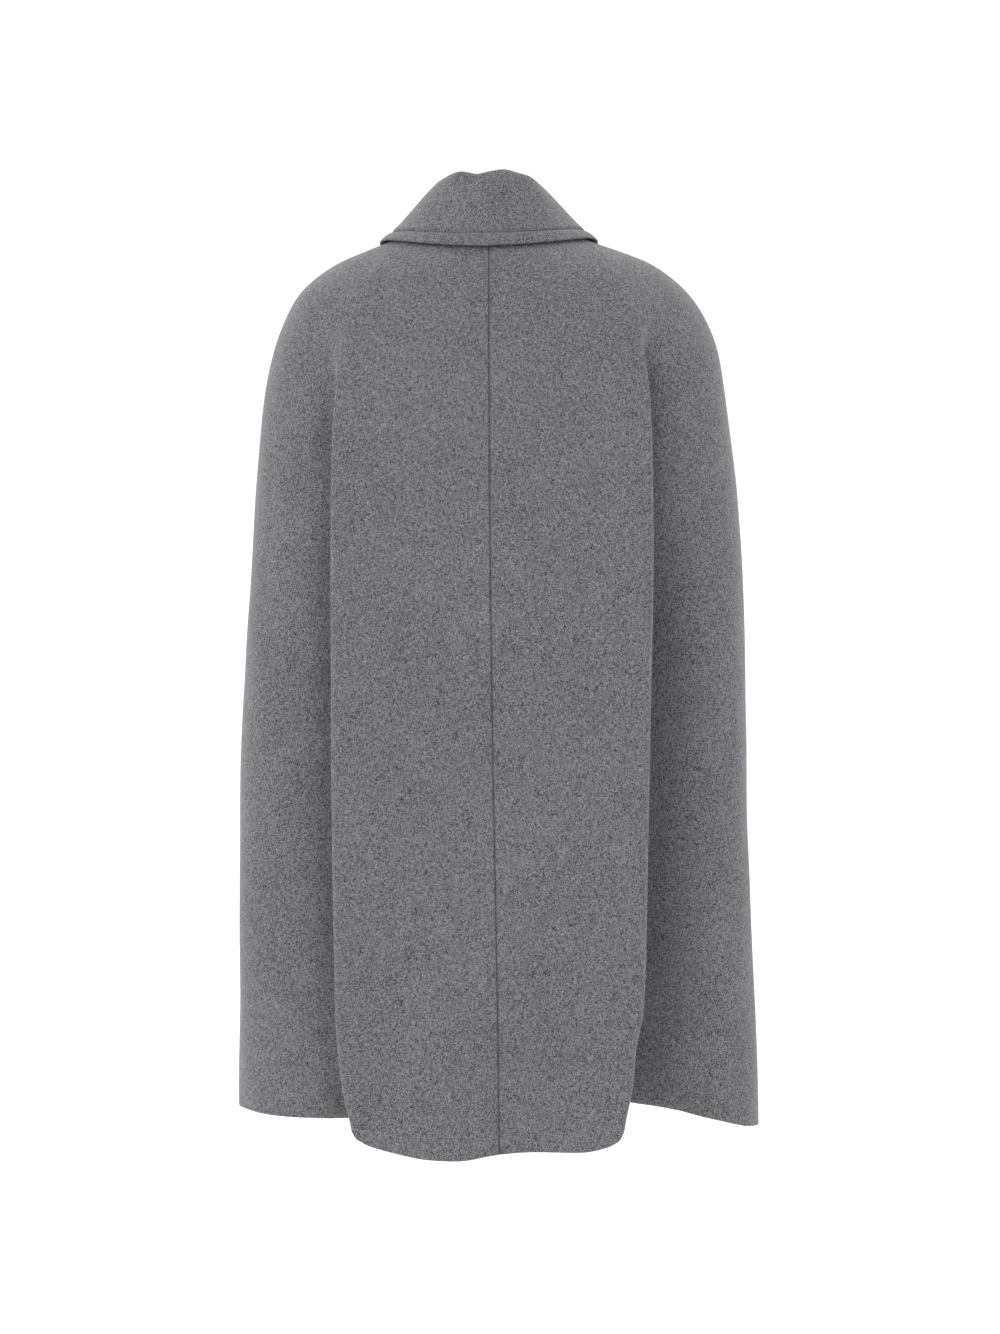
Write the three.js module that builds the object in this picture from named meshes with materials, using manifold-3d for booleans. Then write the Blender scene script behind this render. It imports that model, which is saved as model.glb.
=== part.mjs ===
// Wool cape coat, hollow and filled out as worn, seen standing upright.
// Millimetres. +Z is up, the fronts face -Y, the backs face +Y.
// +X is the wearer's left. The origin is at the middle of the neck, level with
// the tops of the shoulder slopes.
//
// Every cut piece is one closed wall of heavy wool. The outer face of the coat
// is a stack of rings (SECTIONS). On each ring a place is named by q, the
// length along the ring from the centre back. The four long seams run inside
// upright folds (FOLD), whose size changes with height (BACK_EDGE, FRONT_EDGE).
import * as THREE from 'three';
import Module from 'manifold-3d';

const wasm = await Module();
wasm.setup();

// ---------------------------------------------------------------- sizes
const WALL = 2.8;              // thickness of the double-faced wool
const SEAM_GAP = 0.3;          // clear space between two pieces at a seam
const LAP = 28;                // the right front runs this far past the centre front
const LAP_DROP = 4.2;          // the left front lies this far behind it there
const LAP_RUN = 42;            // length over which it comes back to the outer face
const SLIT = { top: 12, bottom: 15, open: 25 };     // arm slits: section numbers, widest gap
const SEAM_PLACE = 12;         // the seam lies this far round the fold from its edge
const COLLAR = { roll: 5.6, lift: 0.9, endGap: 2.2 }; // roll radius at mid wall, lift of its edge, half gap at the front
const BUTTON = { radius: 12.5, height: 4.4, dish: 1.3, rim: 2.6, holeRadius: 1.1, holeOut: 2.7, stand: 0.6 };
const BUTTON_HEIGHTS = [-124, -238, -352, -466, -580];

const table = (columns, rows) => {
  const names = columns.split(' ');
  return rows.map(r => Object.fromEntries(names.map((n, i) => [n, r[i]])));
};

// Rings of the outer face. half: half width. lean: sideways shift of the ring.
// back, front: depth behind and before the middle. zBack, zSide, zFront:
// heights at the centre back, the side and the centre front. square: 2 is an
// ellipse, more is fuller at the corners.
const SECTIONS = table('name half lean back front zBack zSide zFront square', [
  ['neckline',    68,   5.5,  65,  55,  -12,    1,  -85, 2.00],
  ['collar edge', 101,  5.0,  81,  74,  -31,  -17,  -96, 2.02],
  ['yoke 1',      131,  3.0,  92,  89,  -47,  -28.5,-108, 2.06],
  ['yoke 2',      160,  1.6, 101, 101,  -64,  -40, -120, 2.11],
  ['yoke 3',      182,  1.5, 109, 111,  -82,  -54, -133, 2.16],
  ['yoke 4',      202,  1.2, 116, 120, -103,  -73, -147, 2.22],
  ['shoulder',    217,  0.4, 122, 127, -127,  -97, -163, 2.28],
  ['upper arm',   229.5,0.5, 128, 134, -156, -130, -186, 2.34],
  ['blade',       237.3,0.9, 133, 140, -192, -172, -214, 2.40],
  ['chest',       243,  0.5, 136, 144, -240, -226, -254, 2.44],
  ['bust',        248, -0.5, 138, 147, -300, -292, -308, 2.46],
  ['under bust',  251.5,-1.2,139, 148, -368, -364, -372, 2.48],
  ['waist',       253.5,-1.0,141, 149, -442, -440, -444, 2.50],
  ['high hip',    253.5, 0.4,143, 150, -520, -520, -520, 2.50],
  ['hip',         253,  1.0, 145, 151, -600, -600, -600, 2.50],
  ['thigh 1',     254,  0.0, 147, 152, -680, -680, -680, 2.50],
  ['thigh 2',     255.5,-1.8,149, 153, -755, -755, -755, 2.50],
  ['thigh 3',     256.5,-2.9,151, 154, -820, -820, -820, 2.50],
  ['thigh 4',     257.2,-3.1,152, 155, -868, -868, -868, 2.50],
  ['hem turn',    257.6,-2.9,153, 156, -898, -898, -898, 2.50],
  ['hem',         257.8,-2.8,153, 156, -915, -915, -915, 2.50],
]);

// The folded side edges of the back, by height. half: from the middle plane to
// the fold's edge. depth: from the fold's edge in to the bottom of the valley
// beside it. under: how far the wing tucks in beneath the edge (below zero it
// opens). seam: how much further round the fold the seam lies. L is the
// wearer's left, R the right.
const BACK_EDGE = table('z halfL halfR depthL depthR underL underR seamL seamR', [
  [ -12,  56,    56,    0,  0,   0,   0, -10, -10],
  [ -39,  93,    99,    0,  0,   0,   0, -10, -10],
  [ -64, 117,   118,    1,  1,   0,   0, -10, -10],
  [ -90, 134,   135,    2,  3,   0,   0,  -9,  -8],
  [-114, 144,   142,    4,  6,   0,   0,  -7,  -6],
  [-142, 153,   146,    7, 11,   0,   1,  -4,  -3],
  [-171, 157,   149.5, 10, 18,   1,   2,  -2,  -1],
  [-232, 160,   152,   17, 30,   2,   4,   0,   0],
  [-350, 160,   153,   24, 37,   4,   6,   0,   1],
  [-490, 159,   150.5, 27, 38,   5,   6,   1,   2],
  [-625, 158,   147.5, 25, 39,   4,   5,   2,   4],
  [-746, 156,   144.3, 24, 40,   3,   4,   4,   6],
  [-806, 154.5, 142,   25, 40,   1,   1,   7,   9],
  [-840, 152,   135.5, 27, 40,  -3,  -4,  12,  15],
  [-880, 147,   131.5, 29, 40,  -6,  -8,  18,  20],
  [-904, 140.5, 125.5, 31, 40,  -8, -11,  22,  24],
  [-935, 134,   119,   32, 40,  -9, -13,  24,  26],
]);

// The softer folds along the front seams, by height.
const FRONT_EDGE = table('z half depth under seam', [
  [ -85,  54,   0,  0, -10],
  [-110,  86,   0,  0, -10],
  [-140, 108,   1,  0, -9],
  [-180, 124,   3,  0, -7],
  [-240, 134,   6,  0, -3],
  [-350, 140,   8,  1,  0],
  [-460, 142,   6,  0,  0],
  [-640, 142,   6,  0,  0],
  [-760, 142,  12,  1,  2],
  [-860, 140,  18, -2,  8],
  [-935, 136,  22, -6, 14],
]);

// Cross section of a fold. p: length round from its edge, below zero on the
// flat panel. along, tuck: sideways place is along + tuck x under. out: height
// as a share of the depth.
const FOLD = table('p along tuck out', [
  [-90, -90,   0.00,  0.00],
  [-55, -56,   0.00,  0.06],
  [-30, -31,   0.00,  0.20],
  [-14, -13,   0.00,  0.32],
  [ -5,  -3.5, 0.00,  0.36],
  [  0,   0,   0.00,  0.27],
  [  6,  -0.5,-0.25,  0.02],
  [ 14,   0,  -0.80, -0.34],
  [ 22,   1,  -1.00, -0.70],
  [ 30,   4,  -0.90, -0.97],
  [ 42,  15,  -0.60, -1.12],
  [ 66,  41,   0.00, -0.90],
  [100,  84,   0.00, -0.50],
  [135, 128,   0.00, -0.12],
  [155, 155,   0.00,  0.00],
]);

// Soft creases and flutes. turnTop, turnHem: place round the coat as a share
// of the way from the centre back to the centre front, + on the wearer's left.
// width: half width. rise: height at the hem, below zero a trough. zTop, zFull:
// where it starts and where it is full.
const FLUTES = table('turnTop turnHem width rise zTop zFull', [
  [ 0.065,  0.075, 45,  6, -560, -900],
  [-0.050, -0.035, 30, -5, -640, -900],
  [-0.120, -0.125, 40,  5, -560, -900],
  [ 0.470,  0.450, 45,  7, -260, -700],
  [ 0.600,  0.620, 40, -8, -300, -800],
  [-0.460, -0.440, 42,  8, -260, -700],
  [-0.580, -0.600, 38, -9, -330, -800],
  [ 0.870,  0.880, 40,  4, -420, -850],
  [-0.880, -0.870, 42, -4, -420, -850],
]);

// Height of the hem round the coat. turn as above.
const HEM = table('turn z', [
  [-1.000, -917], [-0.860, -919], [-0.750, -922], [-0.640, -930], [-0.550, -932],
  [-0.500, -928], [-0.460, -922], [-0.400, -916], [-0.370, -909], [-0.340, -902],
  [-0.310, -895], [-0.280, -891], [-0.230, -892], [-0.200, -897], [-0.182, -905],
  [-0.165, -916], [-0.150, -922], [-0.120, -927], [-0.050, -928.5], [0.000, -930.5],
  [ 0.060, -936], [ 0.100, -935], [ 0.150, -929], [ 0.180, -922.5], [ 0.198, -915],
  [ 0.212, -907], [ 0.230, -903], [ 0.270, -903.5], [ 0.360, -903], [ 0.430, -900.5],
  [ 0.470, -903], [ 0.540, -913], [ 0.640, -914], [ 0.750, -914], [ 0.860, -918],
  [ 1.000, -917],
]);

// Sideways place of the centre back seam by height.
const CENTRE_BACK = table('z x', [
  [-12, 6.0], [-40, 6.4], [-290, 5.4], [-540, 2.4], [-690, -0.5], [-790, -2.4], [-940, -4.4],
]);

// Roll line of the collar: a ring above the neckline, and the small waves in it.
const ROLL = { half: 51, back: 61, front: 50, zBack: 42.5, zSide: 39, zFront: -66, lean: 8, square: 2.3 };
const ROLL_WAVES = table('turn width rise', [
  [0.16, 0.07, 2.4], [0.06, 0.045, -2.0], [-0.09, 0.07, 3.2], [-0.24, 0.08, 1.6], [-0.34, 0.08, -1.2], [0.36, 0.10, -0.8],
]);

// Outer edge of the collar on the body. turn: place round the neck, + on the
// wearer's left. level: section number on which the edge lies. place: share of
// the way round there.
const COLLAR_EDGE = table('turn level place', [
  [-1.00, 4.60, 0.885],
  [-0.88, 2.85, 0.780],
  [-0.75, 1.84, 0.680],
  [-0.60, 1.34, 0.570],
  [-0.45, 1.20, 0.440],
  [-0.25, 1.22, 0.240],
  [ 0.00, 1.33, 0.000],
  [ 0.25, 1.38, 0.240],
  [ 0.45, 1.38, 0.440],
  [ 0.60, 1.46, 0.570],
  [ 0.75, 1.90, 0.680],
  [ 0.88, 2.88, 0.780],
  [ 1.00, 4.60, 0.885],
]);

// ---------------------------------------------------------------- curves
const clamp = (x, a, b) => Math.min(b, Math.max(a, x));
const smooth = (a, b, x) => { const t = clamp((x - a) / (b - a), 0, 1); return t * t * (3 - 2 * t); };

// A cubic through (x, y) pairs with rising x. steady: no overshoot.
function curve(xs, ys, steady) {
  const n = xs.length, h = [], d = [], m = new Array(n);
  for (let i = 0; i < n - 1; i++) { h.push(xs[i + 1] - xs[i]); d.push((ys[i + 1] - ys[i]) / h[i]); }
  m[0] = d[0]; m[n - 1] = d[n - 2];
  for (let i = 1; i < n - 1; i++) {
    if (!steady) m[i] = (d[i - 1] * h[i] + d[i] * h[i - 1]) / (h[i - 1] + h[i]);
    else if (d[i - 1] * d[i] <= 0) m[i] = 0;
    else {
      const w1 = 2 * h[i] + h[i - 1], w2 = h[i] + 2 * h[i - 1];
      m[i] = (w1 + w2) / (w1 / d[i - 1] + w2 / d[i]);
    }
  }
  return x => {
    x = clamp(x, xs[0], xs[n - 1]);
    let i = 0;
    while (i < n - 2 && x >= xs[i + 1]) i++;
    const s = (x - xs[i]) / h[i], r = 1 - s;
    return (1 + 2 * s) * r * r * ys[i] + s * r * r * h[i] * m[i] + s * s * (3 - 2 * s) * ys[i + 1] - s * s * r * h[i] * m[i + 1];
  };
}
const byColumn = (rows, key, of, steady = true) => {
  const sorted = [...rows].sort((a, b) => a[key] - b[key]);
  return curve(sorted.map(r => r[key]), sorted.map(r => r[of]), steady);
};

const LAST = SECTIONS.length - 1;
const section = Object.fromEntries(Object.keys(SECTIONS[0]).filter(k => k !== 'name').map(k =>
  [k, curve(SECTIONS.map((_, i) => i), SECTIONS.map(r => r[k]), true)]));
const backEdge = Object.fromEntries(Object.keys(BACK_EDGE[0]).slice(1).map(k => [k, byColumn(BACK_EDGE, 'z', k)]));
const frontEdge = Object.fromEntries(Object.keys(FRONT_EDGE[0]).slice(1).map(k => [k, byColumn(FRONT_EDGE, 'z', k)]));
const hemHeight = byColumn(HEM, 'turn', 'z');
const centreBack = byColumn(CENTRE_BACK, 'z', 'x');
const collarLevel = byColumn(COLLAR_EDGE, 'turn', 'level');
const collarPlace = byColumn(COLLAR_EDGE, 'turn', 'place');
const foldAlong = byColumn(FOLD, 'p', 'along', false);
const foldOut = byColumn(FOLD, 'p', 'out', false);
const foldTuck = byColumn(FOLD, 'p', 'tuck', false);
const FOLD_FROM = FOLD[0].p, FOLD_TO = FOLD[FOLD.length - 1].p;

// ---------------------------------------------------------------- the rings
const STEPS = 360;
const rings = new Map();

// Half of ring v: points from the centre back to the centre front on +X, with
// the length q at each, and the fold places on both sides.
function ring(v) {
  const key = Math.round(v * 1e6);
  if (rings.has(key)) return rings.get(key);
  const s = Object.fromEntries(Object.entries(section).map(([k, f]) => [k, f(v)]));
  const pts = [], q = [0];
  for (let i = 0; i <= STEPS; i++) {
    const a = Math.PI * i / STEPS, depth = Math.cos(a) >= 0 ? s.back : s.front;
    const r = Math.pow(Math.pow(Math.abs(Math.sin(a) / s.half), s.square) + Math.pow(Math.abs(Math.cos(a) / depth), s.square), -1 / s.square);
    const x = i === 0 || i === STEPS ? 0 : r * Math.sin(a), y = r * Math.cos(a), w = (y / depth) ** 2;
    pts.push([x, y, s.zSide + ((y >= 0 ? s.zBack : s.zFront) - s.zSide) * w]);
    if (i) q.push(q[i - 1] + Math.hypot(x - pts[i - 1][0], y - pts[i - 1][1]));
  }
  const r = { s, pts, q, total: q[STEPS] };
  const at = (x, lo, hi) => {          // q where the ring is x from its own middle
    let bestLow = lo;
    const rising = pts[hi][0] > pts[lo][0];
    for (let i = lo; i < hi; i++) {
      const a = pts[i][0], b = pts[i + 1][0];
      if (rising ? (a <= x && x < b) : (a >= x && x > b)) return q[i] + (q[i + 1] - q[i]) * (x - a) / (b - a);
      bestLow = i;
    }
    return q[rising ? hi : lo];
  };
  const zb = 0.3 * s.zSide + 0.7 * s.zBack, zf = 0.3 * s.zSide + 0.7 * s.zFront;
  for (const side of [1, -1]) {
    const L = side > 0 ? 'L' : 'R';
    r[side] = {
      tip: at(backEdge['half' + L](zb) - side * s.lean, 0, STEPS / 2),
      depth: backEdge['depth' + L](zb), under: backEdge['under' + L](zb), seam: backEdge['seam' + L](zb),
      frontTip: at(frontEdge.half(zf), STEPS / 2, STEPS),
      frontDepth: frontEdge.depth(zf), frontUnder: frontEdge.under(zf), frontSeam: frontEdge.seam(zf),
      middle: side * (centreBack(s.zBack) - s.lean),
    };
  }
  rings.set(key, r);
  return r;
}

// A point of ring v before folds and flutes.
function plain(v, side, q) {
  const r = ring(v);
  let a = Math.abs(q), flip = q < 0 ? -1 : 1;
  if (a > r.total) { a = 2 * r.total - a; flip = -1; }
  let lo = 0, hi = STEPS;
  while (hi - lo > 1) { const m = (lo + hi) >> 1; if (r.q[m] <= a) lo = m; else hi = m; }
  const t = (a - r.q[lo]) / (r.q[hi] - r.q[lo]), A = r.pts[lo], B = r.pts[hi];
  return new THREE.Vector3(r.s.lean + side * flip * (A[0] + (B[0] - A[0]) * t), A[1] + (B[1] - A[1]) * t, A[2] + (B[2] - A[2]) * t);
}

function folded(p, depth, under) {
  if (p <= FOLD_FROM || p >= FOLD_TO) return [p, 0];
  const full = smooth(0, 14, depth);
  return [p + full * (foldAlong(p) + foldTuck(p) * under - p), foldOut(p) * depth];
}

// The outer face of the coat. v: section number. side: 1 wearer's left, -1
// right. q: length round from the centre back. lapped: on the left front,
// which lies behind the right one at the centre front.
function face(v, side, q, lapped = false) {
  const r = ring(v), e = r[side];
  let [along, out] = folded(q - e.tip, e.depth, e.under), base = e.tip + along;
  if (q > (e.tip + e.frontTip) / 2) {
    [along, out] = folded(e.frontTip - q, e.frontDepth, e.frontUnder);
    base = e.frontTip - along;
  }
  const p = plain(v, side, base);
  const v0 = Math.max(v - 0.02, 0), v1 = Math.min(v + 0.02, LAST), share = base / r.total;
  const T = plain(v, side, base + 0.5).sub(plain(v, side, base - 0.5));
  const D = plain(v1, side, share * ring(v1).total).sub(plain(v0, side, share * ring(v0).total));
  const N = side > 0 ? T.clone().cross(D).normalize() : D.clone().cross(T).normalize();
  for (const f of FLUTES) {
    const t = clamp((f.zTop - p.z) / (f.zTop - f.zFull), 0, 1), round = 2 * r.total;
    let away = side * q - (f.turnTop + (f.turnHem - f.turnTop) * t) * r.total;
    away -= round * Math.round(away / round);
    out += f.rise * smooth(0, 1, t) * Math.exp(-((away / f.width) ** 2));
  }
  if (lapped) {
    const full = r.total - LAP - 8, run = Math.min(LAP_RUN, 0.85 * (full - e.frontTip));
    out -= LAP_DROP * smooth(full - run, full, q);
  }
  p.addScaledVector(N, out);
  let turn = side * q / r.total;
  if (turn > 1) turn -= 2;
  if (turn < -1) turn += 2;
  p.z += (hemHeight(turn) - SECTIONS[LAST].zBack) * smooth(-640, SECTIONS[LAST].zBack, p.z);
  return p;
}

// ---------------------------------------------------------------- the panels
// Columns of a panel: each gives q on ring v. Near the neck the fold is short
// of room, so its columns close up there (squeeze).
const squeeze = (room, full) => Math.min(1, room / full);
const seamPlace = (e, k) => (SEAM_PLACE + e.seam) * k;
const frontSeamPlace = (e, k) => (SEAM_PLACE + e.frontSeam) * k;
const half = SEAM_GAP / 2;

function backColumns(v, side) {
  const e = ring(v)[side], k = squeeze(e.tip - e.middle, 135), kw = squeeze(e.frontTip - e.tip, 360);
  const start = e.middle + half, inner = e.tip - 90 * k, s = seamPlace(e, kw);
  return [start, start + (inner - start) * 0.36, start + (inner - start) * 0.7,
    inner, e.tip - 54 * k, e.tip - 28 * k, e.tip - 11 * k, e.tip - 2.5 * k,
    e.tip + 0.3 * s, e.tip + 0.62 * s, e.tip + s - half];
}
function wingColumns(v, side) {
  const r = ring(v), e = r[side], k = squeeze(e.frontTip - e.tip, 360), s = seamPlace(e, k), f = frontSeamPlace(e, k);
  const from = e.tip + 170 * k, to = e.frontTip - 130 * k, valley = 66 * k;
  const slit = v > SLIT.top && v < SLIT.bottom ? SLIT.open * Math.sin(Math.PI * (v - SLIT.top) / (SLIT.bottom - SLIT.top)) : 0;
  return [e.tip + s + half, ...[0.2, 0.45, 1].map(t => e.tip + s + (valley - s) * t),
    ...[88, 112, 140].map(p => e.tip + p * k), from, from + (to - from) * 0.33, from + (to - from) * 0.67, to,
    ...[98, 68].map(p => e.frontTip - p * k), e.frontTip - f - (68 * k - f) * 0.55, e.frontTip - f - (68 * k - f) * 0.22 - slit * 0.5,
    e.frontTip - f - half - slit];
}
function frontColumns(v, side) {
  const r = ring(v), e = r[side], kw = squeeze(e.frontTip - e.tip, 360), k = squeeze(r.total - e.frontTip - LAP - 12, 100);
  const s = frontSeamPlace(e, kw), flat = e.frontTip + 90 * k, lap = r.total - LAP - 8;
  return [e.frontTip - s + half, e.frontTip - s * 0.45, e.frontTip + 3 * k, e.frontTip + 22 * k, e.frontTip + 52 * k,
    flat, flat + (lap - flat) * 0.5, lap, r.total - LAP, r.total - LAP / 2, r.total, r.total + LAP / 2, r.total + LAP];
}

const ROWS = SECTIONS.map((_, i) => i);
const LEVEL_STEP = 0.03, ROUND_STEP = 0.4;

// Outer point and outward direction at column j of a panel on ring v.
function onPanel(columns, v, side, j, lapped) {
  const q = columns(v, side)[j], v0 = Math.max(v - LEVEL_STEP, 0), v1 = Math.min(v + LEVEL_STEP, LAST);
  const T = face(v, side, q + ROUND_STEP, lapped).sub(face(v, side, q - ROUND_STEP, lapped));
  const D = face(v1, side, columns(v1, side)[j], lapped).sub(face(v0, side, columns(v0, side)[j], lapped));
  const N = (side > 0 ? T.clone().cross(D) : D.clone().cross(T)).normalize();
  return { p: face(v, side, q, lapped), n: N, down: D.normalize() };
}

// A closed wall from a grid of outer points and the matching inner points.
// The grid's rows run down and its columns run so that row x column faces out.
function wall(outer, inner, flip) {
  const m = outer.length, n = outer[0].length, verts = [], tris = [];
  for (const g of [outer, inner]) for (const row of g) for (const p of row) verts.push(p.x, p.y, p.z);
  const O = (i, j) => i * n + j, I = (i, j) => m * n + i * n + j;
  const quad = (a, b, c, d) => { if (flip) tris.push(a, c, b, a, d, c); else tris.push(a, b, c, a, c, d); };
  for (let i = 0; i < m - 1; i++) for (let j = 0; j < n - 1; j++) {
    // each square is split along its shorter diagonal, on both faces alike
    if (outer[i][j].distanceTo(outer[i + 1][j + 1]) < outer[i + 1][j].distanceTo(outer[i][j + 1])) {
      quad(O(i, j), O(i + 1, j), O(i + 1, j + 1), O(i, j + 1));
      quad(I(i, j), I(i, j + 1), I(i + 1, j + 1), I(i + 1, j));
    } else {
      quad(O(i + 1, j), O(i + 1, j + 1), O(i, j + 1), O(i, j));
      quad(I(i, j + 1), I(i + 1, j + 1), I(i + 1, j), I(i, j));
    }
  }
  for (let i = 0; i < m - 1; i++) {
    quad(O(i, 0), I(i, 0), I(i + 1, 0), O(i + 1, 0));
    quad(O(i, n - 1), O(i + 1, n - 1), I(i + 1, n - 1), I(i, n - 1));
  }
  for (let j = 0; j < n - 1; j++) {
    quad(O(0, j), O(0, j + 1), I(0, j + 1), I(0, j));
    quad(O(m - 1, j), I(m - 1, j), I(m - 1, j + 1), O(m - 1, j + 1));
  }
  const g = new THREE.BufferGeometry();
  g.setAttribute('position', new THREE.Float32BufferAttribute(verts, 3));
  g.setIndex(tris);
  return g;
}

function panel(columns, side, lapped = false) {
  const n = columns(1, side).length;
  const outer = ROWS.map(v => Array.from({ length: n }, (_, j) => onPanel(columns, v, side, j, lapped)));
  const points = outer.map(row => row.map(o => o.p));
  const inner = outer.map(row => row.map(o => o.p.clone().addScaledVector(o.n, -WALL)));
  return wall(points, inner, side > 0);
}

// ---------------------------------------------------------------- the collar
const UP = new THREE.Vector3(0, 0, 1);
const hermite = (a, ta, b, tb, t) => {
  const r = 1 - t;
  return a.clone().multiplyScalar((1 + 2 * t) * r * r).addScaledVector(ta, t * r * r)
    .addScaledVector(b, t * t * (3 - 2 * t)).addScaledVector(tb, -t * t * r);
};

// Outer face, outward direction and down direction at q on ring v.
function bodyAt(v, side, q, lapped) {
  const v0 = Math.max(v - LEVEL_STEP, 0), v1 = Math.min(v + LEVEL_STEP, LAST), share = q / ring(v).total;
  const T = face(v, side, q + ROUND_STEP, lapped).sub(face(v, side, q - ROUND_STEP, lapped)).normalize();
  const D = face(v1, side, share * ring(v1).total, lapped).sub(face(v0, side, share * ring(v0).total, lapped)).normalize();
  const n = (side > 0 ? T.clone().cross(D) : D.clone().cross(T)).normalize();
  return { p: face(v, side, q, lapped), n, down: D };
}

// The middle of the collar's wall along one line from the neck seam, over the
// roll, to the outer edge. turn: -1 at the right end, 0 at the centre back, 1
// at the left end.
const STAND_STEPS = [0, 0.22, 0.5, 0.78, 1], ROLL_STEPS = 5, FALL_STEPS = [0.18, 0.38, 0.58, 0.78, 0.9, 1];
function collarLine(turn) {
  const side = turn >= 0 ? 1 : -1, g = Math.abs(turn), r0 = ring(0);
  const q0 = g * (r0.total - COLLAR.endGap);
  const neck = bodyAt(0, side, q0, side > 0);
  const start = neck.p.clone().addScaledVector(neck.n, -WALL / 2).addScaledVector(neck.down, -SEAM_GAP);
  const flat = plain(0, side, q0).sub(new THREE.Vector3(r0.s.lean, 0, 0));
  const a = Math.atan2(Math.abs(flat.x), flat.y), depth = flat.y >= 0 ? ROLL.back : ROLL.front;
  const rad = Math.pow(Math.pow(Math.sin(a) / ROLL.half, ROLL.square) + Math.pow(Math.abs(Math.cos(a)) / depth, ROLL.square), -1 / ROLL.square);
  const x = rad * Math.sin(a), y = rad * Math.cos(a), w = (y / depth) ** 2;
  let z = ROLL.zSide + ((y >= 0 ? ROLL.zBack : ROLL.zFront) - ROLL.zSide) * w;
  for (const b of ROLL_WAVES) z += b.rise * Math.exp(-(((turn - b.turn) / b.width) ** 2));
  const centre = new THREE.Vector3(ROLL.lean + side * x, y, z - COLLAR.roll);
  const out = new THREE.Vector3(side * x / ROLL.half ** 2, y / depth ** 2, 0).normalize();
  const level = collarLevel(turn), body = bodyAt(level, side, collarPlace(turn) * ring(level).total, false);
  const edge = body.p.clone().addScaledVector(body.n, WALL / 2 + COLLAR.lift);
  const toEdge = edge.clone().sub(centre);
  const leave = Math.atan2(-toEdge.dot(UP), toEdge.dot(out)) * 0.94;     // how far the roll turns past level
  const onRoll = t => {                     // 0 at the stand, 1 where the fall starts
    const b = Math.PI - t * (Math.PI / 2 + leave);
    return centre.clone().addScaledVector(out, COLLAR.roll * Math.cos(b)).addScaledVector(UP, COLLAR.roll * Math.sin(b));
  };
  const pts = [], first = onRoll(0), last = onRoll(1);
  const rise = first.distanceTo(start), drop = last.distanceTo(edge);
  for (const t of STAND_STEPS) pts.push(hermite(start, neck.down.clone().multiplyScalar(-rise), first, UP.clone().multiplyScalar(rise * 0.8), t));
  for (let i = 1; i <= ROLL_STEPS; i++) pts.push(onRoll(i / ROLL_STEPS));
  const go = out.clone().multiplyScalar(Math.cos(leave)).addScaledVector(UP, -Math.sin(leave)).multiplyScalar(drop * 0.9);
  for (const t of FALL_STEPS) pts.push(hermite(last, go, edge, body.down.clone().multiplyScalar(drop * 0.75), t));
  pts.neck = neck.n;
  pts.edge = body.n;
  return pts;
}

const COLLAR_TURNS = [0, 0.07, 0.14, 0.21, 0.28, 0.35, 0.42, 0.48, 0.54, 0.6, 0.655, 0.71, 0.765, 0.82, 0.875, 0.92, 0.96, 1];
function collar() {
  const turns = [...COLLAR_TURNS.slice(1).reverse().map(t => -t), ...COLLAR_TURNS];
  const step = 0.004, lines = turns.map(collarLine), outer = [], inner = [];
  turns.forEach((t, i) => {
    const a = collarLine(Math.max(-1, t - step)), b = collarLine(Math.min(1, t + step)), line = lines[i];
    const o = [], n = [];
    line.forEach((p, j) => {
      const T = b[j].clone().sub(a[j]), D = line[Math.min(j + 1, line.length - 1)].clone().sub(line[Math.max(j - 1, 0)]);
      const N = j === 0 ? line.neck : j === line.length - 1 ? line.edge : T.cross(D).normalize();
      o.push(p.clone().addScaledVector(N, WALL / 2));
      n.push(p.clone().addScaledVector(N, -WALL / 2));
    });
    outer.push(o); inner.push(n);
  });
  return wall(outer, inner, false);
}

// ---------------------------------------------------------------- the buttons
const solid = geometry => {
  const index = geometry.index.array, pos = geometry.attributes.position, seen = new Map(), verts = [], tris = [];
  const at = i => {
    const c = [pos.getX(i), pos.getY(i), pos.getZ(i)].map(x => Math.round(x * 1e4) / 1e4), key = c.join();
    if (!seen.has(key)) { seen.set(key, verts.length / 3); verts.push(...c); }
    return seen.get(key);
  };
  for (let i = 0; i < index.length; i += 3) {
    const t = [at(index[i]), at(index[i + 1]), at(index[i + 2])];
    if (t[0] !== t[1] && t[1] !== t[2] && t[2] !== t[0]) tris.push(...t);
  }
  return new wasm.Manifold(new wasm.Mesh({ numProp: 3, vertProperties: new Float32Array(verts), triVerts: new Uint32Array(tris) }));
};
const shape = body => {
  const m = body.getMesh(), g = new THREE.BufferGeometry();
  g.setAttribute('position', new THREE.Float32BufferAttribute(m.vertProperties, 3));
  g.setIndex([...m.triVerts]);
  return g;
};

// A round dished button on its own axis (+Y here), back face at 0.
function buttonBody() {
  const b = BUTTON, floor = b.height - b.dish;
  const outline = [[0, 0], [b.radius - 1.6, 0], [b.radius, 1.5], [b.radius, b.height - 1.2], [b.radius - 1.1, b.height],
    [b.radius - b.rim, b.height], [b.radius - b.rim - 1.2, floor], [0, floor]];
  let body = solid(new THREE.LatheGeometry(outline.map(([x, y]) => new THREE.Vector2(x, y)), 22));
  for (let i = 0; i < 4; i++) {
    const a = Math.PI / 4 + i * Math.PI / 2, hole = new THREE.CylinderGeometry(b.holeRadius, b.holeRadius, 3 * b.height, 8);
    hole.translate(b.holeOut * Math.cos(a), b.height / 2, b.holeOut * Math.sin(a));
    body = body.subtract(solid(hole));
  }
  return shape(body);
}

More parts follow.
